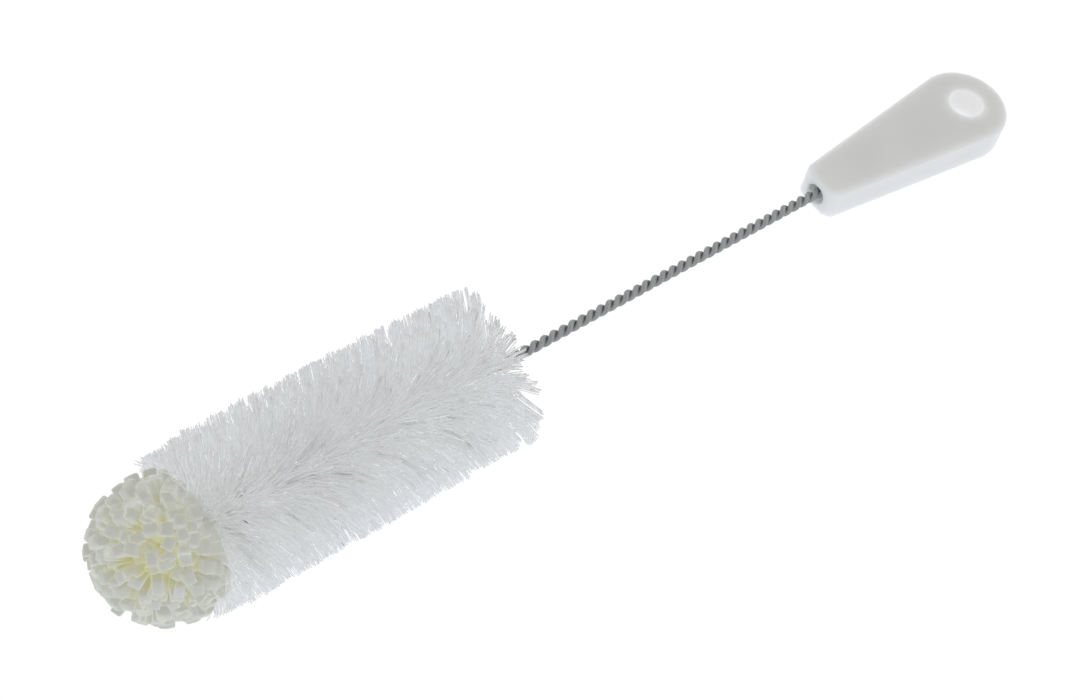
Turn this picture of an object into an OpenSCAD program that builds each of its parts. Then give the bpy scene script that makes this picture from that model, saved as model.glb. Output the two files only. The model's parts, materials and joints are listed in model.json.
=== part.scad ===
// Laboratory bottle brush. One steel wire is folded double and twisted: the twist
// grips the nylon bristles and the foam tip, and its tail sits in a moulded handle.
// The brush is drawn with its axis along X, the handle's mouth at x = 0 and the tip
// towards -X. It is then laid on the plane z = 0, where it rests on its bristles and
// on the round end of the handle.

/* [Handle] */
// Length of the handle
handle_len = 94; // [84:1:110]
// Width across the round end
handle_end_w = 35; // [31:0.5:40]
// Width at the wire end
handle_neck_w = 18; // [16:0.5:22]
// Thickness of the handle
handle_t = 14; // [12:0.5:17]
// Rounding of the handle's edges
handle_edge_r = 2; // [1:0.25:3]
// Corner radius of the outline at the wire end
neck_corner_r = 4.8; // [3.5:0.1:7]
// Diameter of the hanging hole
hang_d = 13.5; // [10:0.5:15]
// Distance from the hanging hole's centre to the round end
hang_inset = 15.7; // [12:0.1:18]
// Rounding of the hanging hole's rims
hang_rim_r = 0.8; // [0.4:0.1:1.5]
// Diameter of the recess round the wire at the handle's mouth
mouth_d = 8; // [6:0.25:9]
// Depth of the recess
mouth_depth = 12; // [6:1:18]

/* [Wire] */
// Diameter of the wire
wire_d = 2.1; // [1.8:0.05:2.3]
// Length of one full turn of the twist
twist_lead = 8.3; // [7.6:0.1:9.5]
// Length of the twisted tail inside the handle
tail_len = 36; // [26:1:50]
// Bare twisted stem between the handle and the first bristle roots
stem_len = 150; // [110:1:200]

/* [Bristles] */
// Length of the twist that holds bristle roots
brush_len = 115; // [80:1:140]
// Diameter across the bristle tips
brush_d = 57; // [50:1:64]
// How far the bristles are swept back towards the handle
sweep = 5; // [2:0.5:7]
// How much further the last bristles lean back over the stem
lean_back = 2.5; // [0:0.5:5]
// How much less the foremost bristles are swept, which the foam holds forward
lean_front = 6; // [3:0.5:9]
// Tufts in one turn of the twist
tufts_per_turn = 13; // [11:1:20]
// Thickness of a tuft where the wires grip it
tuft_grip_t = 0.4; // [0.3:0.02:0.5]
// Width of a tuft at its tips
tuft_tip_w = 2; // [1.2:0.1:2.4]

/* [Foam tip] */
// Diameter of the ball of foam strips
foam_d = 48; // [40:1:52]
// Number of strip ends
strip_count = 170; // [120:5:190]
// Width of a foam strip at its cut end
strip_w = 3.6; // [3:0.1:4]
// Diameter of the rolled foam round the end of the wire
foam_core_d = 12; // [10:0.5:14]

/* [Fits] */
// Gap between pieces that touch on the real brush
seat_gap = 0.1; // [0.05:0.05:0.2]

/* [Hidden] */

cut_past = 1;
golden_angle = 137.508;

end_r = handle_end_w / 2;
half_t = handle_t / 2;
hang_r = hang_d / 2;

// A strand of the twist is a six-sided tube with the area of the round wire, its
// flats towards and away from the brush axis
strand_sides = 6;
strand_r = wire_d / 2 * sqrt(2 * PI / (strand_sides * sin(360 / strand_sides)));
strand_flat_r = strand_r * cos(180 / strand_sides);
strand_pitch_angle = atan(PI * wire_d / twist_lead);
// The twist turns the edges of a strand's inner flat in towards the axis by this much
flat_dip = PI / twist_lead * pow(strand_r / 2, 2) * sin(2 * strand_pitch_angle);
stem_rings = 8;
brush_rings = 6;
stem_twist_r = (strand_flat_r + flat_dip + seat_gap / 4) / cos(180 / stem_rings);
brush_twist_r = (strand_flat_r + flat_dip + (tuft_grip_t + seat_gap) / 2) / cos(180 / brush_rings);
spread_len = twist_lead / 2;

// Tufts lie between the strands, side by side along the twist
tuft_pitch = twist_lead / tufts_per_turn;
tuft_count = floor(brush_len / tuft_pitch);
tuft_grip_w = 0.5 * tuft_pitch;
first_root = -stem_len - tuft_pitch / 2;
brush_r = brush_d / 2;
grip_reach = brush_twist_r + strand_r;
front_tip = -stem_len - brush_len + sweep - lean_front - tuft_tip_w / 2;
// Powers that make the lean of the last and the foremost bristles die away from each end
back_fade = 8;
front_fade = 16;

// The foam is pressed against the foremost bristles, so no strip points back within
// this angle of the stem
foam_bare_angle = 71;
foam_r = foam_d / 2;
foam_back = foam_r * cos(foam_bare_angle) + strip_w / 2 * sin(foam_bare_angle);
foam_centre = front_tip - seat_gap - foam_back;
foam_root_r = foam_core_d / 2 - 1;

// Resting place: the lowest bristle tip and the round end of the handle touch z = 0
bristle_foot = stem_len - sweep - lean_back + tuft_pitch / 2 - tuft_tip_w / 2;
rest_drop = brush_r - half_t + handle_edge_r;
rest_span = bristle_foot + handle_len - handle_edge_r;
rest_tilt = atan2(rest_drop, rest_span) - asin(handle_edge_r / norm([rest_drop, rest_span]));
rest_height = brush_r * cos(rest_tilt) - bristle_foot * sin(rest_tilt);
handle_reach = (handle_len - handle_edge_r) * cos(rest_tilt)
    + (half_t - handle_edge_r) * sin(rest_tilt) + handle_edge_r;
tip_reach = foam_centre * cos(rest_tilt) - foam_r;

module at_rest() {
    translate([-(handle_reach + tip_reach) / 2, 0, rest_height])
        rotate([0, rest_tilt, 0])
            children();
}

function around(a) = [0, cos(a), sin(a)];
function clamp(v) = min(1, max(0, v));

// Distance from the axis to the far corners of a strand twisted at radius r
function strand_reach(r) = norm([r + strand_flat_r, strand_r * sin(180 / strand_sides)]);

module along_x(x) {
    translate([x, 0, 0])
        rotate([0, 90, 0])
            children();
}

// ---- Handle ----

// Disc of the handle's thickness with a rounded rim
module rim_disc(r) {
    rim_centre = r - handle_edge_r;
    rotate_extrude($fn = 40)
        intersection() {
            translate([0, -half_t])
                square([r, handle_t]);
            union() {
                translate([0, -half_t])
                    square([rim_centre, handle_t]);
                translate([0, handle_edge_r - half_t])
                    square([r, handle_t - 2 * handle_edge_r]);
                for (side = [-1, 1])
                    translate([rim_centre, side * (half_t - handle_edge_r)])
                        circle(handle_edge_r, $fn = 20);
            }
        }
}

// The round end and both mouth corners, joined by flat sides
module handle_body() {
    hull() {
        translate([handle_len - end_r, 0, 0])
            rim_disc(end_r);
        for (side = [-1, 1])
            translate([neck_corner_r, side * (handle_neck_w / 2 - neck_corner_r), 0])
                rim_disc(neck_corner_r);
    }
}

// Through hole with a rounded rim on both faces
module hanging_hole() {
    rim_reach = hang_r + hang_rim_r;
    cylinder(handle_t + 2 * cut_past, r = hang_r, center = true, $fn = 96);
    for (face = [0, 1])
        mirror([0, 0, face])
            rotate_extrude($fn = 96)
                difference() {
                    translate([0, half_t - hang_rim_r])
                        square([rim_reach, hang_rim_r + cut_past]);
                    translate([rim_reach, half_t - hang_rim_r])
                        circle(hang_rim_r, $fn = 32);
                }
}

module handle() {
    color("white")
        at_rest()
            difference() {
                handle_body();
                translate([handle_len - hang_inset, 0, 0])
                    hanging_hole();
                along_x(-cut_past)
                    cylinder(mouth_depth + cut_past, d = mouth_d, $fn = 64);
                along_x(0)
                    cylinder(tail_len + wire_d, r = strand_reach(stem_twist_r) + seat_gap, $fn = 48);
            }
}

// ---- Wire ----

// Left-handed twist: angle of the first strand round the axis at x
function strand_angle(x) = 360 * (first_root - x) / twist_lead;

// The strands touch along the stem and are spread where they grip bristles and foam
function twist_radius(x) =
    let (spread = clamp((spread_len - stem_len - x) / spread_len))
    stem_twist_r + spread * (brush_twist_r - stem_twist_r);

// A station of the wire: its centre, its outward direction and its run
function strand_station(x, turn, way) =
    let (a = strand_angle(x) + turn,
         r = twist_radius(x),
         run = [1, 0, 0] - 2 * PI * r / twist_lead * around(a + 90))
    [[x, 0, 0] + r * around(a), around(a), way * run / norm(run)];

// The fold at the tip carries the first strand round into the second
function fold_station(bend) =
    let (u = around(strand_angle(foam_centre)))
    [[foam_centre, 0, 0] + brush_twist_r * (cos(bend) * u - sin(bend) * [1, 0, 0]),
     cos(bend) * u - sin(bend) * [1, 0, 0],
     -sin(bend) * u - cos(bend) * [1, 0, 0]];

function even_steps(from, to, longest) =
    let (n = ceil(abs(to - from) / longest))
    [for (i = [0:n - 1]) from + (to - from) * i / n];

function ring(station) =
    let (side = cross(station[2], station[1]))
    [for (i = [0:strand_sides - 1])
        let (a = 360 * (i + 0.5) / strand_sides)
        station[0] + strand_r * (cos(a) * station[1] + sin(a) * side)];

// Closed tube through a list of rings that all have the same number of points
module tube(rings) {
    n = len(rings[0]);
    last = (len(rings) - 1) * n;
    polyhedron(
        [for (r = rings) each r],
        concat(
            [[for (i = [0:n - 1]) i]],
            [for (j = [0:n:last - n], i = [0:n - 1])
                let (next = (i + 1) % n)
                each [[j + i, j + n + i, j + n + next], [j + i, j + n + next, j + next]]],
            [[for (i = [n - 1:-1:0]) last + i]]),
        convexity = 10);
}

module wire() {
    down = concat(
        even_steps(tail_len, -stem_len, twist_lead / stem_rings),
        even_steps(-stem_len, foam_centre, twist_lead / brush_rings),
        [foam_centre]);
    back = [for (i = [len(down) - 1:-1:0]) down[i]];
    color("darkgray")
        at_rest()
            tube(concat(
                [for (x = down) ring(strand_station(x, 0, -1))],
                [for (bend = [45, 90, 135]) ring(fold_station(bend))],
                [for (x = back) ring(strand_station(x, 180, 1))]));
}

// ---- Bristles ----

// Shift of a tuft's tips along the brush; share runs from 0 at the stem to 1 at the foam
function tip_shift(share) =
    sweep + lean_back * pow(1 - share, back_fade) - lean_front * pow(share, front_fade);

// Rectangle across a tuft: at x, out along direction a by reach, thick round the axis
function tuft_ring(x, a, reach, thick, wide) =
    [for (corner = [[-1, -1], [1, -1], [1, 1], [-1, 1]])
        [x + corner.y * wide / 2, 0, 0] + reach * around(a) + corner.x * thick / 2 * around(a + 90)];

// A tuft passes between the strands and flares out to both of its tips
module tuft(i) {
    x = first_root - i * tuft_pitch;
    tip_x = x + tip_shift((i + 0.5) / tuft_count);
    a = strand_angle(x) + 90;
    tube([
        tuft_ring(tip_x, a, -brush_r, tuft_tip_w, tuft_tip_w),
        tuft_ring(x, a, -grip_reach, tuft_grip_t, tuft_grip_w),
        tuft_ring(x, a, grip_reach, tuft_grip_t, tuft_grip_w),
        tuft_ring(tip_x, a, brush_r, tuft_tip_w, tuft_tip_w)
    ]);
}

module bristles() {
    color("whitesmoke")
        at_rest()
            for (i = [0:tuft_count - 1])
                tuft(i);
}

// ---- Foam tip ----

// One strip end: it widens from the rolled core to its square cut end on the ball
module foam_strip() {
    root_w = strip_w * foam_root_r / foam_r;
    translate([0, 0, foam_root_r])
        linear_extrude(foam_r - foam_root_r, scale = strip_w / root_w)
            square(root_w, center = true);
}

module foam_tip() {
    bore_r = strand_reach(brush_twist_r) + seat_gap;
    bore_end = foam_centre - bore_r - seat_gap;
    color("ivory")
        at_rest()
            difference() {
                translate([foam_centre, 0, 0])
                    rotate([0, -90, 0]) {
                        sphere(d = foam_core_d, $fn = 32);
                        for (i = [0:strip_count - 1]) {
                            level = 1 - (1 + cos(foam_bare_angle)) * (i + 0.5) / strip_count;
                            rotate([0, acos(level), golden_angle * i])
                                foam_strip();
                        }
                    }
                along_x(bore_end)
                    cylinder(foam_d, r = bore_r, $fn = 32);
            }
}

handle();
wire();
bristles();
foam_tip();
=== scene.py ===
"""Looks of a laboratory bottle brush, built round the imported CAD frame.

Everything is modelled in the brush's own frame, in metres: X along the wire with the
handle's mouth at x = 0 and the tip towards -X, Z along the normal of the flat handle.
in_place() then lays each piece where the frame has it.
"""
import json
import math

import bmesh
import bpy
import numpy as np
from mathutils import Matrix, Vector


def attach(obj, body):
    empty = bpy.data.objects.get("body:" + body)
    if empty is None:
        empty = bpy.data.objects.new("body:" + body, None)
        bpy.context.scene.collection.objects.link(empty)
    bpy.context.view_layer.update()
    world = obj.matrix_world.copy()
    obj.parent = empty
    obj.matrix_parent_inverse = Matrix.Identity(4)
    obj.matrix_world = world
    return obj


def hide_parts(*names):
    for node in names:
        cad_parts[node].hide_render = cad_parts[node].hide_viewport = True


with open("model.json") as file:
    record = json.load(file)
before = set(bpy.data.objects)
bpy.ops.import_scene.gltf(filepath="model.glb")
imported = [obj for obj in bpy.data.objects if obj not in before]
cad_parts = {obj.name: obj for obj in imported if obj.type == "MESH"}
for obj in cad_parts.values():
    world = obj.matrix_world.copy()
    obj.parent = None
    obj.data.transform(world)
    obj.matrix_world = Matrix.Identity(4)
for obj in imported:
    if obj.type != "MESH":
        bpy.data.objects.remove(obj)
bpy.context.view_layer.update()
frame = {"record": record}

MM = 0.001

# Handle
HANDLE_LEN = 94 * MM
END_R = 17.5 * MM
NECK_W = 18 * MM
NECK_R = 4.8 * MM
HALF_T = 7 * MM
EDGE_R = 2 * MM
HANG_INSET = 15.7 * MM
HANG_R = 6.75 * MM
HANG_RIM_R = 0.8 * MM
MOUTH_R = 4 * MM
MOUTH_DEPTH = 12 * MM
MOUTH_BREAK = 0.2 * MM
SOCKET_R = 2.35 * MM
PLASTIC = (0.712, 0.712, 0.702), (0.732, 0.732, 0.722)
# the hanging hole's wall is painted lighter by this factor, standing in for the light that comes
# through the plastic into the hole
HOLE_PAINTED_LIGHT = (1.15, 1.13, 1.11)
HANDLE_CLEAR = 0.82
MOUTH_CLEAR = 0.2
HOLE_CLEAR = 0.86

# Wire
WIRE_R = 1.05 * MM
TWIST_LEAD = 8.3 * MM
TAIL_LEN = 36 * MM
STEM_LEN = 150 * MM
GRIP_GAP = 0.4 * MM
FIRST_ROOT = -STEM_LEN - 0.177 * TWIST_LEAD
BOW = 1.15 * MM
BOW_FROM = -135 * MM
BOW_LEN = 145 * MM

# Bristles
BRUSH_LEN = 117 * MM
BRUSH_R = 28.4 * MM
BRUSH_R_FRONT_LESS = 1.8 * MM
FILAMENT_R = 0.18 * MM
FILAMENTS = 5200
FILAMENT_STEPS = 6
ROOT_R = 0.4 * MM
BRISTLE_PIECES = 4
SHADING_SHARE = 0.05

# Angles round the brush axis, from +Y towards +Z, of the side that is turned up and of
# the edge that the camera sees above it
UP_SIDE = math.radians(118)
FAR_EDGE = math.radians(28)

# How the filaments lean: everywhere, at the handle's end (all, those above, those
# below) and at the foam
LEAN = 5.5 * MM
LEAN_BACK = (-2.5 * MM, -5 * MM, -3.5 * MM)
LEAN_FRONT = 6.5 * MM
LEAN_FADE = 6 * MM

# How far from each end the filaments are less orderly, and how much denser they are
# at the foam
BACK_FADE = 3 * MM
FRONT_FADE = 4 * MM
FRONT_DENSER = 3

# Neighbouring filaments hold together in locks; the spreads are standard deviations
LOCK = 15
LOCK_HOLD = 0.3
LOCK_TURN = 0.08
LOCK_SHIFT = 0.5
LOCK_SHIFT_MOST = 0.9
LOCK_REACH = 0.3
TURN_SPREAD = 0.07
TIP_SPREAD = 0.95 * MM
REACH_SPREAD = 0.25
BOW_SPREAD = 0.6
SAG_SPREAD = 0.4

# Foam
FOAM_R = 24 * MM
FOAM_X = -276.616 * MM
FOAM_BACK = 8.5 * MM
FOAM_BARE_ANGLE = 71
FOAM_HEART_R = 14 * MM
STRIP_W = 3.6 * MM
STRIP_EDGE = 0.4 * MM
STRIPS = 190
FILLERS = 150
RIM_STRIPS = 40
STRIP_ROOT_R = 0.4 * FOAM_HEART_R
HEART_BUMPS = 140
FOAM_CLEAR = 0.5
FOAM_SOFT = 0.1
# the side of the ball that gets more painted shade, turned towards the camera
FOAM_PAINTED_SHADE_SIDE = (-0.53, -0.38, 0.76)
STRIP_GRAIN = (0.43, 0.70, 0.57)
FOAM_OUTSIDE = (0.58, 0.585, 0.53)
# the foam's yellowed inside, darkened with painted shade for the crevices between the strips
FOAM_INSIDE_AND_SHADE = (0.56, 0.54, 0.305)

GOLDEN_ANGLE = math.radians(137.508)

# The brush frame, from the hanging hole that the record states
HOLE = next(m for m in frame["record"]["mounts"] if m["name"] == "hanging_hole")
UP = Vector(HOLE["axis"]).normalized()
ACROSS = Vector((0, 1, 0))
ALONG = ACROSS.cross(UP)
MOUTH = Vector(HOLE["pos_m"]) - ALONG * (HANDLE_LEN - HANG_INSET)
BRUSH = Matrix.Translation(MOUTH) @ Matrix((ALONG, ACROSS, UP)).transposed().to_4x4()


# ---- Camera and stage ----

CAMERA_AT = (-445.1, -265.5, 552.4)
CAMERA_RIGHT = (0.78124, -0.60463, 0.15518)
CAMERA_FORWARD = (0.45612, 0.38323, -0.80317)
CAMERA_LENS = 67.95
SENSOR_W = 36
HORIZON = (0.955, 0.985, 1.045, 1)
ZENITH = (0.712, 0.703, 0.675, 1)
ZENITH_FROM = 0.9
FLOOR_SIZE = 6
# the floor's grey and glow, as it lights the object and as it is seen
FLOOR_GREY, FLOOR_GLOW, FLOOR_GLOW_COLOUR = 0.1, 1.05, (0.935, 0.98, 1.06, 1)
SEEN_GREY, SEEN_GLOW = 0.14, 0.91
WHITE = (1, 1, 1, 1)


def make_camera():
    data = bpy.data.cameras.new("camera")
    data.sensor_width = SENSOR_W
    data.lens = CAMERA_LENS
    data.clip_start = 0.01
    right = Vector(CAMERA_RIGHT).normalized()
    back = -Vector(CAMERA_FORWARD).normalized()
    turn = Matrix((right, back.cross(right), back)).transposed().to_4x4()
    camera = bpy.data.objects.new("camera", data)
    camera.matrix_world = BRUSH @ Matrix.Translation(Vector(CAMERA_AT) * MM) @ turn
    bpy.context.scene.collection.objects.link(camera)
    bpy.context.scene.camera = camera


class Nodes:
    """Adds nodes to a node tree and links them by socket name."""

    def __init__(self, tree):
        self.tree = tree
        tree.nodes.clear()

    def add(self, kind, inputs=None, **settings):
        node = self.tree.nodes.new(kind)
        for name, value in settings.items():
            setattr(node, name, value)
        for name, value in (inputs or {}).items():
            if isinstance(value, bpy.types.NodeSocket):
                self.tree.links.new(value, node.inputs[name])
            else:
                node.inputs[name].default_value = value
        return node

    def math(self, operation, a, b=0.0):
        return self.add("ShaderNodeMath", {0: a, 1: b}, operation=operation).outputs[0]

    def seen_ray(self):
        """1 for camera, glossy and transmission rays, which show the white background."""
        path = self.add("ShaderNodeLightPath").outputs
        glossy = self.math("MAXIMUM", path["Is Glossy Ray"], path["Is Transmission Ray"])
        return self.math("MAXIMUM", path["Is Camera Ray"], glossy)

    def mix_shader(self, factor, a, b):
        return self.add("ShaderNodeMixShader", {0: factor, 1: a, 2: b}).outputs[0]

    def ramp(self, factor, start, low, stop, high):
        """The colour low up to start, high from stop on, and a blend between them."""
        node = self.add("ShaderNodeValToRGB", {0: factor})
        for end, position, colour in zip(node.color_ramp.elements, (start, stop), (low, high)):
            end.position = position
            end.color = colour
        return node.outputs[0]

    def glowing(self, grey, colour, strength):
        """A diffuse grey that also gives off light."""
        return self.add("ShaderNodeAddShader", {
            0: self.add("ShaderNodeBsdfDiffuse", {"Color": (grey, grey, grey, 1)}).outputs[0],
            1: self.add("ShaderNodeEmission", {"Color": colour, "Strength": strength}).outputs[0],
        }).outputs[0]


def make_world():
    """A soft studio, a little brighter near the horizon than overhead."""
    world = bpy.data.worlds.new("studio")
    world.use_nodes = True
    n = Nodes(world.node_tree)
    direction = n.add("ShaderNodeTexCoord").outputs["Generated"]
    height = n.add("ShaderNodeSeparateXYZ", {0: direction}).outputs["Z"]
    sky = n.ramp(height, 0.0, HORIZON, ZENITH_FROM, ZENITH)
    studio = n.add("ShaderNodeBackground", {"Color": sky, "Strength": 1.0}).outputs[0]
    white = n.add("ShaderNodeBackground", {"Color": WHITE, "Strength": 1.0}).outputs[0]
    n.add("ShaderNodeOutputWorld", {0: n.mix_shader(n.seen_ray(), studio, white)})
    bpy.context.scene.world = world


def make_floor():
    """A white light table: it glows softly and keeps a faint shadow."""
    material = bpy.data.materials.new("floor")
    material.use_nodes = True
    n = Nodes(material.node_tree)
    lighting = n.glowing(FLOOR_GREY, FLOOR_GLOW_COLOUR, FLOOR_GLOW)
    seen = n.glowing(SEEN_GREY, WHITE, SEEN_GLOW)
    n.add("ShaderNodeOutputMaterial", {0: n.mix_shader(n.seen_ray(), lighting, seen)})
    bpy.ops.mesh.primitive_plane_add(size=FLOOR_SIZE)
    floor = bpy.context.object
    floor.name = "floor"
    floor.data.materials.append(material)


# ---- Materials ----

# The part of a noise's range over which it changes a colour or a number
NOISE_RANGE = (0.3, 0.7)
NYLON = (0.404, 0.398, 0.375), (0.435, 0.429, 0.404)
# the near-white colour of a painted glint, and the tone above which a filament gets one
PAINTED_GLINT = (0.98, 0.98, 0.98, 1)
PAINTED_GLINT_TONE = 0.955
STEEL = (0.25, 0.262, 0.262), (0.36, 0.372, 0.37)
FOAM_INSIDE_AND_SHADE_TO = 0.78
FOAM_CLOUD = 0.16

def new_material(name):
    material = bpy.data.materials.new(name)
    material.use_nodes = True
    n = Nodes(material.node_tree)
    return material, n


def finish_material(n, surface):
    n.add("ShaderNodeOutputMaterial", {"Surface": surface})


def noise(n, scale, detail=3.0):
    """Noise in object space; scale is in features per metre."""
    point = n.add("ShaderNodeTexCoord").outputs["Object"]
    return n.add("ShaderNodeTexNoise",
                 {"Vector": point, "Scale": scale, "Detail": detail}).outputs[0]


def attribute(n, name):
    return n.add("ShaderNodeAttribute", attribute_name=name).outputs["Fac"]


def tinted(n, factor, low, high):
    """A colour that runs from low to high with the factor."""
    start, stop = NOISE_RANGE
    return n.ramp(factor, start, (*low, 1), stop, (*high, 1))


def span(n, factor, low, high):
    """A number that runs from low to high with the factor."""
    start, stop = NOISE_RANGE
    return n.add("ShaderNodeMapRange",
                 {0: factor, 1: start, 2: stop, 3: low, 4: high}).outputs[0]


def lit_through(n, shader, tint, clear):
    """Light on its way to or from other surfaces passes through the clear share of this one."""
    gap = n.add("ShaderNodeBsdfTransparent", {"Color": (*tint, 1)}).outputs[0]
    direct = n.add("ShaderNodeLightPath").outputs["Is Camera Ray"]
    return n.mix_shader(direct, n.mix_shader(clear, shader, gap), shader)


def plastic(name, clear, tint=(1, 1, 1)):
    # tint scales both tones; on the hanging hole's wall it paints the plastic lighter, standing in
    # for light
    low, high = (tuple(np.multiply(tone, tint)) for tone in PLASTIC)
    material, n = new_material(name)
    cloud = noise(n, 60)
    grain = noise(n, 2500, 2)
    bump = n.add("ShaderNodeBump", {"Height": grain, "Strength": 0.08, "Distance": 0.0001})
    surface = n.add("ShaderNodeBsdfPrincipled", {
        "Base Color": tinted(n, cloud, low, high),
        "Roughness": span(n, cloud, 0.36, 0.46),
        "Specular IOR Level": 0.15,
        "Subsurface Weight": 1.0,
        "Subsurface Radius": (1.0, 1.0, 1.0),
        "Subsurface Scale": 0.006,
        "Normal": bump.outputs[0]})
    finish_material(n, lit_through(n, surface.outputs[0], (1, 1, 1), clear))
    return material


def steel():
    material, n = new_material("steel_wire")
    cloud = noise(n, 350)
    streak = n.add("ShaderNodeTexNoise", {
        "W": attribute(n, "around"), "Scale": 2.2, "Detail": 2.0},
        noise_dimensions="1D").outputs[0]
    bump = n.add("ShaderNodeBump", {"Height": streak, "Strength": 0.3, "Distance": 0.0001})
    surface = n.add("ShaderNodeBsdfPrincipled", {
        "Base Color": tinted(n, streak, *STEEL),
        "Metallic": 0.5,
        "Roughness": span(n, cloud, 0.38, 0.55),
        "Normal": bump.outputs[0]})
    finish_material(n, surface.outputs[0])
    return material


def nylon():
    material, n = new_material("nylon")
    tone = attribute(n, "tone")
    # painted glint: a few filaments get a near-white colour along part of their length, standing in
    # for light that they catch
    painted_glint_filament = n.math("GREATER_THAN", tone, PAINTED_GLINT_TONE)
    painted_glint = n.math("MULTIPLY", painted_glint_filament, n.math("GREATER_THAN", noise(n, 100, 1), 0.5))
    colour = n.add("ShaderNodeMix", {
        "Factor": painted_glint, 6: tinted(n, tone, *NYLON), 7: PAINTED_GLINT}, data_type="RGBA").outputs[2]
    surface = n.add("ShaderNodeBsdfPrincipled", {
        "Base Color": colour,
        "Roughness": 0.4,
        "Specular IOR Level": 0.25,
        "Subsurface Weight": 1.0,
        "Subsurface Radius": (1.0, 1.0, 1.0),
        "Subsurface Scale": 0.002})
    finish_material(n, surface.outputs[0])
    return material


def foam():
    material, n = new_material("foam")
    cells = noise(n, 2600, 4)
    bump = n.add("ShaderNodeBump", {"Height": cells, "Strength": 0.2, "Distance": 0.0002})
    # the colour runs from the white of the cut ends to a darker yellow with depth: partly the
    # foam's yellowed inside, partly painted shade in the crevices between the strips
    cloudy = n.math("ADD", attribute(n, "depth"), n.math("MULTIPLY", noise(n, 120), FOAM_CLOUD))
    surface = n.add("ShaderNodeBsdfPrincipled", {
        "Base Color": n.ramp(cloudy, FOAM_INSIDE_AND_SHADE_TO, (*FOAM_INSIDE_AND_SHADE, 1), 1.0, (*FOAM_OUTSIDE, 1)),
        "Roughness": 0.9,
        "Specular IOR Level": 0.2,
        "Subsurface Weight": 0.4,
        "Subsurface Radius": (1.0, 1.0, 0.7),
        "Subsurface Scale": 0.002,
        "Normal": bump.outputs[0]})
    finish_material(n, lit_through(n, surface.outputs[0], (1, 0.98, 0.8), FOAM_CLEAR))
    return material


# ---- Meshes ----


def in_place(points):
    """Points of the brush frame, laid where the frame has the brush."""
    turn = np.array(BRUSH.to_3x3())
    return np.asarray(points) @ turn.T + np.array(MOUTH)


def make_piece(name, points, faces, material, node, attributes):
    mesh = bpy.data.meshes.new(name)
    mesh.from_pydata(in_place(points).tolist(), [], faces)
    for key, values in attributes.items():
        layer = mesh.attributes.new(key, "FLOAT", "POINT")
        layer.data.foreach_set("value", np.asarray(values, np.float32))
    mesh.shade_smooth()
    return add_piece(name, mesh, material, node)


def add_piece(name, mesh, material, node):
    mesh.materials.append(material)
    piece = bpy.data.objects.new(name, mesh)
    bpy.context.scene.collection.objects.link(piece)
    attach(piece, "root")
    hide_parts(node)
    return piece


def unit(vectors):
    return vectors / np.linalg.norm(vectors, axis=-1, keepdims=True)


def around(angle):
    """Unit vectors round the brush axis, angle in radians from +Y towards +Z."""
    angle = np.asarray(angle, float)
    return np.stack([np.zeros_like(angle), np.cos(angle), np.sin(angle)], -1)


def tube_faces(rings, sides):
    """Quads and end caps of a tube, for rings that turn anticlockwise about its run."""
    faces = []
    for j in range(rings - 1):
        for i in range(sides):
            k = (i + 1) % sides
            low, high = j * sides, (j + 1) * sides
            faces.append((low + i, low + k, high + k, high + i))
    faces.append(tuple(reversed(range(sides))))
    faces.append(tuple((rings - 1) * sides + i for i in range(sides)))
    return faces


# ---- Handle ----

ARC_STEPS = 48
EDGE_STEPS = 8
CIRCLE_STEPS = 96
# the handle's materials, and how many rings of the hanging hole's wall have the one painted
# lighter, which stands in for light coming through the plastic into the hole
BODY_SLOT, MOUTH_SLOT, HOLE_PAINTED_LIGHT_SLOT = range(3)
HOLE_PAINTED_LIGHT_RINGS = 3


def handle_outline():
    """(centre x, centre y, radius, angle) of each point of the outline, anticlockwise."""
    end_x, corner_y = HANDLE_LEN - END_R, NECK_W / 2 - NECK_R
    run, rise = end_x - NECK_R, corner_y
    tangent = math.acos((NECK_R - END_R) / math.hypot(run, rise)) - math.atan2(rise, run)
    arcs = [
        (end_x, 0.0, END_R, -tangent, tangent, 2 * ARC_STEPS),
        (NECK_R, corner_y, NECK_R, tangent, math.pi, ARC_STEPS // 2),
        (NECK_R, -corner_y, NECK_R, -math.pi, -tangent, ARC_STEPS // 2),
    ]
    return [(x, y, r, a) for x, y, r, start, stop, steps in arcs
            for a in np.linspace(start, stop, steps + 1)]


def ring_points(outline, inset, z):
    return [(x + (r - inset) * math.cos(a), y + (r - inset) * math.sin(a), z)
            for x, y, r, a in outline]


def hang_ring(radius, z):
    angles = np.linspace(0, 2 * math.pi, CIRCLE_STEPS, endpoint=False)
    centre = HANDLE_LEN - HANG_INSET
    return [(centre + radius * math.cos(a), radius * math.sin(a), z) for a in angles]


def bore_ring(radius, x):
    angles = np.linspace(0, 2 * math.pi, CIRCLE_STEPS, endpoint=False)
    return [(x, radius * math.cos(a), radius * math.sin(a)) for a in angles]


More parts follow.
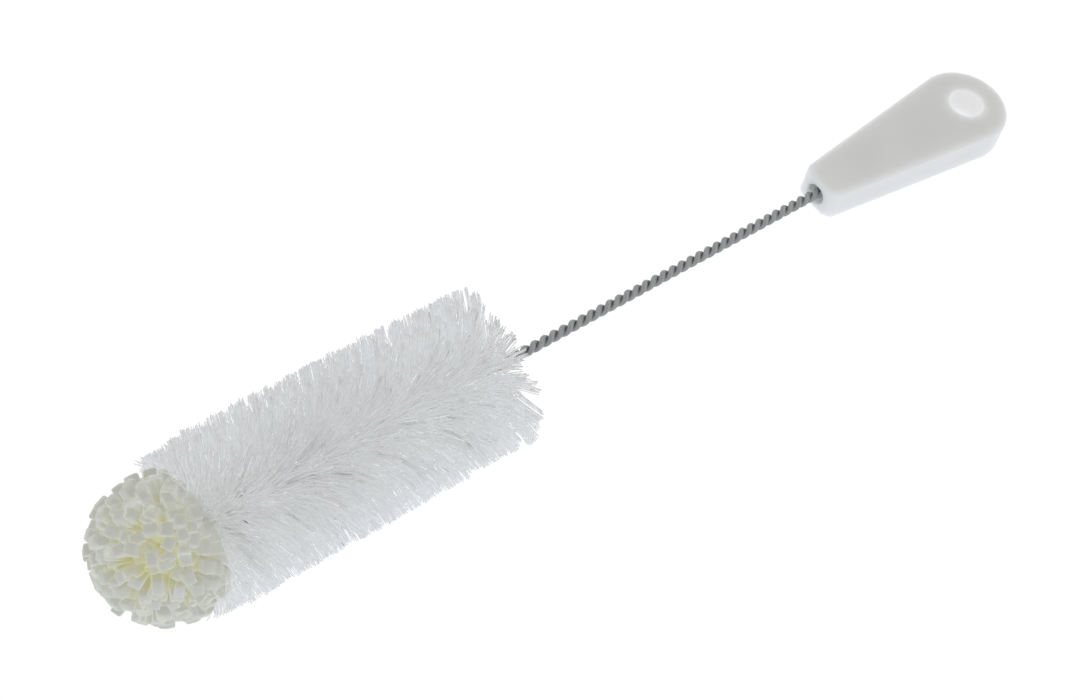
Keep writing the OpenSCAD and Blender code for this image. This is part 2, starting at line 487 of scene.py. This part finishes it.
def make_handle(material, mouth_material, hole_painted_light_material):
    bm = bmesh.new()

    def loop(points):
        return [bm.verts.new(p) for p in points]

    def edges(ring):
        return [bm.edges.get(pair) or bm.edges.new(pair)
                for pair in zip(ring, ring[1:] + ring[:1])]

    def skin(a, b, skip=None, slot=BODY_SLOT):
        for i in range(len(a)):
            k = (i + 1) % len(a)
            if i != skip:
                bm.faces.new((a[i], a[k], b[k], b[i])).material_index = slot

    quarter = np.linspace(0, math.pi / 2, EDGE_STEPS + 1)
    outline = handle_outline()
    mouth_side = 3 * ARC_STEPS // 2 + ARC_STEPS + 1
    walls = []
    for side in (-1, 1):
        steps = quarter[::-1] if side < 0 else quarter
        for a in steps:
            inset = EDGE_R * (1 - math.cos(a))
            z = side * (HALF_T - EDGE_R + EDGE_R * math.sin(a))
            walls.append(loop(ring_points(outline, inset, z)))
    middle = len(quarter) - 1
    for j in range(len(walls) - 1):
        skin(walls[j], walls[j + 1], mouth_side if j == middle else None)

    bore = []
    for side in (-1, 1):
        steps = quarter if side < 0 else quarter[::-1]
        for a in steps:
            radius = HANG_R + HANG_RIM_R * (1 - math.sin(a))
            z = side * (HALF_T - HANG_RIM_R + HANG_RIM_R * math.cos(a))
            bore.append(loop(hang_ring(radius, z)))
    for j in range(len(bore) - 1):
        # the straight part of the hole's wall gets the plastic painted lighter
        straight = abs(j - middle) < HOLE_PAINTED_LIGHT_RINGS
        skin(bore[j + 1], bore[j], slot=HOLE_PAINTED_LIGHT_SLOT if straight else BODY_SLOT)
    for face, rim in ((walls[0], bore[0]), (walls[-1], bore[-1])):
        bmesh.ops.triangle_fill(bm, use_beauty=True, edges=edges(face) + edges(rim))

    recess = [loop(bore_ring(r, x)) for r, x in (
        (MOUTH_R + MOUTH_BREAK, 0), (MOUTH_R, MOUTH_BREAK), (MOUTH_R, MOUTH_DEPTH),
        (SOCKET_R, MOUTH_DEPTH), (SOCKET_R, TAIL_LEN + WIRE_R))]
    for a, b in zip(recess, recess[1:]):
        skin(a, b, slot=MOUTH_SLOT)
    bm.faces.new(recess[-1]).material_index = MOUTH_SLOT
    low, high = walls[middle], walls[middle + 1]
    k = (mouth_side + 1) % len(low)
    corners = [low[mouth_side], low[k], high[k], high[mouth_side]]
    bmesh.ops.triangle_fill(bm, use_beauty=True, edges=edges(corners) + edges(recess[0]))

    bmesh.ops.recalc_face_normals(bm, faces=bm.faces)
    bmesh.ops.transform(bm, matrix=BRUSH, verts=bm.verts)
    mesh = bpy.data.meshes.new("handle_body")
    bm.to_mesh(mesh)
    bm.free()
    mesh.shade_smooth()
    mesh.set_sharp_from_angle(angle=math.radians(35))
    piece = add_piece("handle_body", mesh, material, "handle")
    mesh.materials.append(mouth_material)
    mesh.materials.append(hole_painted_light_material)
    weighted = piece.modifiers.new("weighted", "WEIGHTED_NORMAL")
    weighted.keep_sharp = True


# ---- Wire ----

WIRE_SIDES = 16
WIRE_RINGS = 20


def twist_angle(x):
    """Left-handed twist: angle of the first strand round the axis at x."""
    return 2 * math.pi * (FIRST_ROOT - x) / TWIST_LEAD


def twist_radius(x):
    """The strands touch along the stem and are spread where they grip the filaments."""
    spread = np.clip((-STEM_LEN + TWIST_LEAD / 2 - x) / (TWIST_LEAD / 2), 0, 1)
    return WIRE_R + spread * spread * (3 - 2 * spread) * GRIP_GAP / 2


def wire_bow(x):
    """The wire is bowed among the bristles: how far it is off the axis at x."""
    along = np.clip((BOW_FROM - x) / BOW_LEN, 0, 1)
    return BOW * np.abs(np.sin(math.pi * along))[..., None] ** 0.6 * around(FAR_EDGE)


def strand(x, turn):
    a = twist_angle(x) + turn
    points = around(a) * twist_radius(x)[:, None]
    points[:, 0] = x
    return points, around(a)


def make_wire(material):
    count = int((TAIL_LEN - FOAM_X) / TWIST_LEAD * WIRE_RINGS)
    x = np.linspace(TAIL_LEN, FOAM_X, count)
    down, down_out = strand(x, 0)
    back, back_out = strand(x[::-1], math.pi)
    bend = np.radians(np.arange(15, 180, 15))[:, None]
    first = down_out[-1]
    forward = np.array([-1.0, 0, 0])
    fold_out = np.cos(bend) * first + np.sin(bend) * forward
    fold = np.array([FOAM_X, 0, 0]) + twist_radius(np.array([FOAM_X]))[0] * fold_out
    points = np.vstack([down, fold, back])
    points += wire_bow(points[:, 0])
    out = np.vstack([down_out, fold_out, back_out])
    run = unit(np.gradient(points, axis=0))
    side = unit(np.cross(run, out))
    out = np.cross(side, run)
    angle = np.linspace(0, 2 * math.pi, WIRE_SIDES, endpoint=False)
    section = (np.cos(angle)[None, :, None] * out[:, None]
               + np.sin(angle)[None, :, None] * side[:, None])
    rings = points[:, None] + WIRE_R * section
    around_wire = np.tile(angle, len(points))
    make_piece("twisted_wire", rings.reshape(-1, 3), tube_faces(len(points), WIRE_SIDES),
               material, "wire", {"around": around_wire})


# ---- Bristles ----


def bristle_lean(root_x, angle):
    """How far a filament's tip lies behind its root, towards the handle.

    The bristles are swept back a little, except at the last turns towards the handle,
    where those above and below even lean the other way. The foam holds the foremost
    forward.
    """
    from_back = -STEM_LEN - root_x
    from_front = BRUSH_LEN - from_back
    above = np.clip(np.cos(angle - UP_SIDE), 0, 1)
    below = np.clip(-np.cos(angle - FAR_EDGE), 0, 1) * (1 - above)
    back = LEAN_BACK[0] + LEAN_BACK[1] * above + LEAN_BACK[2] * below
    return (LEAN + back * np.exp(-from_back / LEAN_FADE)
            - LEAN_FRONT * np.exp(-from_front / LEAN_FADE))


def root_places(rng):
    """Where the filaments are gripped, as shares of the brush from the handle's end."""
    grid = np.linspace(0, 1, 400)
    amount = np.cumsum(1 + FRONT_DENSER * np.exp(-(1 - grid) * BRUSH_LEN / FRONT_FADE))
    even = (np.arange(FILAMENTS) + rng.random(FILAMENTS)) / FILAMENTS
    return np.interp(even * amount[-1], amount, grid)


def half_filaments(rng, u, turn):
    """Root, angle, tip radius, tip place, bow and sag of the filaments on one side."""
    far = np.exp(-u * BRUSH_LEN / BACK_FADE)
    near = np.exp(-(1 - u) * BRUSH_LEN / FRONT_FADE)
    lock = np.floor(u * FILAMENTS / LOCK).astype(int)
    locks = lock.max() + 1
    centre = (lock + 0.5) * LOCK / FILAMENTS
    hold = LOCK_HOLD * (1 - near) + 0.5 * far
    root_x = -STEM_LEN - u * BRUSH_LEN
    held_x = -STEM_LEN - (u + (centre - u) * hold) * BRUSH_LEN
    angle = twist_angle(held_x) + turn
    angle += rng.normal(0, LOCK_TURN, locks)[lock] * (1 + 3 * far)
    angle += rng.normal(0, TURN_SPREAD, FILAMENTS) * (1 - hold) * (1 + 5 * near)
    tip_x = held_x + bristle_lean(root_x, angle)
    shift = np.clip(rng.normal(0, LOCK_SHIFT, locks), -LOCK_SHIFT_MOST, LOCK_SHIFT_MOST)[lock]
    tip_x += shift * MM * (1 + 4.5 * far + 0.8 * near)
    tip_x += rng.normal(0, 1, FILAMENTS) * TIP_SPREAD * (1 - hold) * (1 + 2 * near)
    single = rng.normal(0, REACH_SPREAD, FILAMENTS)
    tip_r = BRUSH_R + (single + rng.normal(0, LOCK_REACH, locks)[lock]) * MM
    tip_r -= BRUSH_R_FRONT_LESS * near + np.maximum(tip_r - BRUSH_R, 0) * far
    # a filament that leans over reaches less far out
    tip_r -= BRUSH_R - np.sqrt(BRUSH_R ** 2 - np.maximum(tip_x - root_x - LEAN, 0) ** 2)
    bow = rng.normal(0, BOW_SPREAD, FILAMENTS) * MM
    sag = rng.normal(0, SAG_SPREAD, FILAMENTS) * MM
    return root_x, angle, tip_r, tip_x, bow, sag


def filament_spines(root_x, angle, tip_r, tip_x, bow, sag):
    """The middle line of each filament, from its root to its tip."""
    out, tangent = around(angle), around(angle + math.pi / 2)
    t = np.linspace(0, 1, FILAMENT_STEPS + 1)
    reach = ROOT_R + (tip_r[:, None] - ROOT_R) * t
    arch = np.sin(math.pi * t)
    spine = reach[..., None] * out[:, None] + (bow[:, None] * arch)[..., None] * tangent[:, None]
    spine += wire_bow(root_x)[:, None]
    # those that lean forward go straight up behind the foam and bend over it at their tips
    shift = (tip_x - root_x)[:, None]
    below = np.clip(np.sin(angle - UP_SIDE), 0, 1)[:, None]
    bent_over = (shift < 0) & (root_x < -STEM_LEN - BRUSH_LEN / 2)[:, None]
    run = np.where(bent_over, t ** 6, t ** (1.3 - 0.7 * below))
    spine[..., 0] += root_x[:, None] + shift * run + np.where(shift < 0, 0.0, sag[:, None] * arch)
    # a filament that would reach below the bench rests on it
    depth = FILAMENT_R - in_place(spine)[..., 2]
    bench_up = np.array(BRUSH.to_3x3().inverted() @ Vector((0, 0, 1)))
    return spine + np.maximum(depth, 0)[..., None] * bench_up, tangent


def filament_faces(count):
    """Faces of that many three-sided filaments, with both ends closed."""
    per = (FILAMENT_STEPS + 1) * 3
    walls = np.array([(j * 3 + i, (j + 1) * 3 + i, (j + 1) * 3 + (i + 1) % 3, j * 3 + (i + 1) % 3)
                      for j in range(FILAMENT_STEPS) for i in range(3)])
    base = np.arange(count)[:, None] * per
    faces = (walls[None] + base[..., None]).reshape(-1, 4).tolist()
    faces += (base + np.array([[0, 1, 2]])).tolist()
    faces += (base + FILAMENT_STEPS * 3 + np.array([[2, 1, 0]])).tolist()
    return faces


def make_bristles(material):
    rng = np.random.default_rng(7)
    u = root_places(rng)
    halves = [half_filaments(rng, u, turn) for turn in (0.5 * math.pi, 1.5 * math.pi)]
    root_x, angle, tip_r, tip_x, bow, sag = (np.concatenate(c) for c in zip(*halves))
    spine, tangent = filament_spines(root_x, angle, tip_r, tip_x, bow, sag)
    corner = np.linspace(0, 2 * math.pi, 3, endpoint=False) + rng.random(len(angle))[:, None] * 2
    along = np.array([1.0, 0, 0])
    section = np.cos(corner)[..., None] * along + np.sin(corner)[..., None] * tangent[:, None]
    rings = spine[:, :, None] + (FILAMENT_R * section)[:, None]
    # each filament's tone sets its colour at random and, at the top of its range, picks those with
    # a painted glint
    tone = rng.random(len(angle))
    # on the far upper half most filaments have their tone lowered, so that few of them get the
    # painted glint there; their colour also comes out a little darker
    few_painted_glints = (np.cos(angle - FAR_EDGE) > 0) & (rng.random(len(angle)) > 0.35)
    tone[few_painted_glints] *= 0.95

    order = rng.permutation(len(angle))
    first = int(SHADING_SHARE * len(order))
    parts = [order[:first], *np.array_split(order[first:], BRISTLE_PIECES - 1)]
    for part, members in enumerate(parts):
        points = rings[members].reshape(-1, 3)
        tones = np.repeat(tone[members], (FILAMENT_STEPS + 1) * 3)
        piece = make_piece(f"bristles_{part + 1}", points, filament_faces(len(members)),
                           material, "bristles", {"tone": tones})
        # nylon lets light through: only one share of the filaments keeps it from the others
        piece.visible_diffuse = piece.visible_shadow = part == 0


# ---- Foam tip ----

STRIP_STEPS = 7
CORNER_STEPS = 3


def strip_section(half_w, half_t, edge):
    """Corners of a rectangle with rounded edges."""
    points = []
    for i, (sx, sy) in enumerate(((1, 1), (-1, 1), (-1, -1), (1, -1))):
        for a in np.radians(np.linspace(90 * i, 90 * i + 90, CORNER_STEPS)):
            points.append((sx * (half_w - edge) + edge * math.cos(a),
                           sy * (half_t - edge) + edge * math.sin(a)))
    return np.array(points)


def strip_directions(rng, count, offset):
    """Polar angle from the tip and turn round the axis of evenly spread strips."""
    for i in range(count):
        level = 1 - (1 + math.cos(math.radians(FOAM_BARE_ANGLE))) * (i + 0.5) / count
        polar = math.acos(level) + rng.normal(0, 0.03)
        yield polar, GOLDEN_ANGLE * i + offset + rng.normal(0, 0.05)


def rim_directions(rng):
    """The last row of strips, which lean on the bristles."""
    for i in range(RIM_STRIPS):
        turn = 2 * math.pi * (i + rng.uniform(-0.2, 0.2)) / RIM_STRIPS
        yield math.pi - math.radians(FOAM_BARE_ANGLE - 4) + rng.normal(0, 0.03), turn


def foam_strips(rng, directions, reach_low, reach_high, back):
    """Strips standing out from the heart all round, except where the bristles press on it."""
    points, faces, depth = [], [], []
    sides = 4 * CORNER_STEPS
    base = 0
    for polar, turn in directions:
        out = np.array([-math.cos(polar), math.sin(polar) * math.cos(turn),
                        math.sin(polar) * math.sin(turn)])
        side = unit(np.cross(out, STRIP_GRAIN))
        other = np.cross(out, side)
        roll = rng.normal(0, 0.3) + math.pi / 2 * rng.integers(2)
        side, other = (math.cos(roll) * side + math.sin(roll) * other,
                       -math.sin(roll) * side + math.cos(roll) * other)
        reach = FOAM_R * rng.uniform(reach_low, reach_high)
        bend = rng.normal(0, 1.6, 2) * MM
        half_w = STRIP_W / 2 * rng.uniform(0.95, 1.3)
        half_t = STRIP_W / 2 * rng.uniform(0.9, 1.1)
        # the last two steps round off the cut end
        steps = [(s, 1.0) for s in np.linspace(0, 1, STRIP_STEPS + 1)[:-1]]
        steps += [(1 - STRIP_EDGE / (reach - STRIP_ROOT_R), 1.0), (1.0, 0.0)]
        for s, full in steps:
            r = STRIP_ROOT_R + (reach - STRIP_ROOT_R) * s
            grow = 0.45 + 0.55 * min(r / FOAM_R * 1.1, 1) ** 0.8
            edge = STRIP_EDGE * grow
            shrink = 0 if full else edge
            section = strip_section(half_w * grow - shrink, half_t * grow - shrink,
                                    edge * (0.3 + 0.7 * full))
            centre = out * r + (side * bend[0] + other * bend[1]) * s * s
            ring = centre + section[:, :1] * side + section[:, 1:] * other
            points.append(ring)
            # depth grows with the distance from the centre and drops a step just below each cut
            # end, so that the strips' sides are painted darker than their ends: painted shade
            depth += [r / FOAM_R - 0.04 * (1 - math.exp((r - reach) / (0.5 * MM)))] * sides
        faces += [tuple(base + v for v in f) for f in tube_faces(len(steps), sides)]
        base += len(steps) * sides
    points = np.vstack(points)
    points[:, 0] = np.minimum(points[:, 0], back) + FOAM_X
    return points, faces, depth


def soften_normals(mesh):
    """Turns the shading normals part of the way out from the ball's centre, as soft foam shades."""
    centre = in_place([FOAM_X, 0, 0])
    points = np.array([v.co for v in mesh.vertices])
    corner = np.array([loop.vertex_index for loop in mesh.loops])
    outward = unit(points[corner] - centre)
    normals = np.array([n.vector for n in mesh.corner_normals])
    softened = unit((1 - FOAM_SOFT) * normals + FOAM_SOFT * outward)
    mesh.normals_split_custom_set(softened.tolist())


def make_foam(material):
    rng = np.random.default_rng(11)
    layers = (
        (strip_directions(rng, STRIPS, 0.0), 0.96, 1.03, FOAM_BACK),
        (strip_directions(rng, FILLERS, 1.0), 0.78, 0.91, FOAM_BACK),
        (rim_directions(rng), 0.98, 1.04, FOAM_BACK + 2 * MM))
    for k, (directions, low, high, back) in enumerate(layers):
        points, faces, depth = foam_strips(rng, directions, low, high, back)
        # on the side turned towards the camera the colour runs further towards the yellow, shaded
        # inside, and even the cut ends are darker: painted shade
        painted_shade = np.clip(unit(points - (FOAM_X, 0, 0)) @ FOAM_PAINTED_SHADE_SIDE, 0, 1) ** 2
        depth = 1 - (1 - np.array(depth)) * (0.55 + 0.55 * painted_shade) - 0.09 * painted_shade ** 3
        piece = make_piece(f"foam_strips_{k + 1}", points, faces, material,
                           "foam_tip", {"depth": depth})
        piece.data.set_sharp_from_angle(angle=math.radians(50))
        soften_normals(piece.data)
        # light soaks through the outer strips to those below
        piece.visible_diffuse = piece.visible_shadow = False
    make_heart(material, rng)


def make_heart(material, rng):
    """The nipped middle of the roll, where the strips come out of one another."""
    bm = bmesh.new()
    bmesh.ops.create_icosphere(bm, subdivisions=5, radius=1)
    bumps = unit(rng.normal(0, 1, (HEART_BUMPS, 3)))
    points = unit(np.array([v.co for v in bm.verts]))
    near = np.max(points @ bumps.T, axis=1)
    swell = np.exp(-(1 - near) * 60)
    points = points * (FOAM_HEART_R * (0.88 + 0.14 * swell))[:, None]
    points[:, 0] = np.minimum(points[:, 0], FOAM_BACK - 0.5 * MM) + FOAM_X
    faces = [tuple(v.index for v in f.verts) for f in bm.faces]
    bm.free()
    # the heart takes the full inside colour, with its painted shade
    depth = np.full(len(points), FOAM_HEART_R / FOAM_R)
    piece = make_piece("foam_heart", points, faces, material, "foam_tip",
                       {"depth": depth})


make_camera()
make_world()
make_floor()
make_handle(plastic("handle_plastic", HANDLE_CLEAR), plastic("mouth_plastic", MOUTH_CLEAR),
            plastic("hole_plastic_painted_light", HOLE_CLEAR, HOLE_PAINTED_LIGHT))
make_wire(steel())
make_bristles(nylon())
make_foam(foam())
bpy.context.scene.view_settings.view_transform = "Standard"
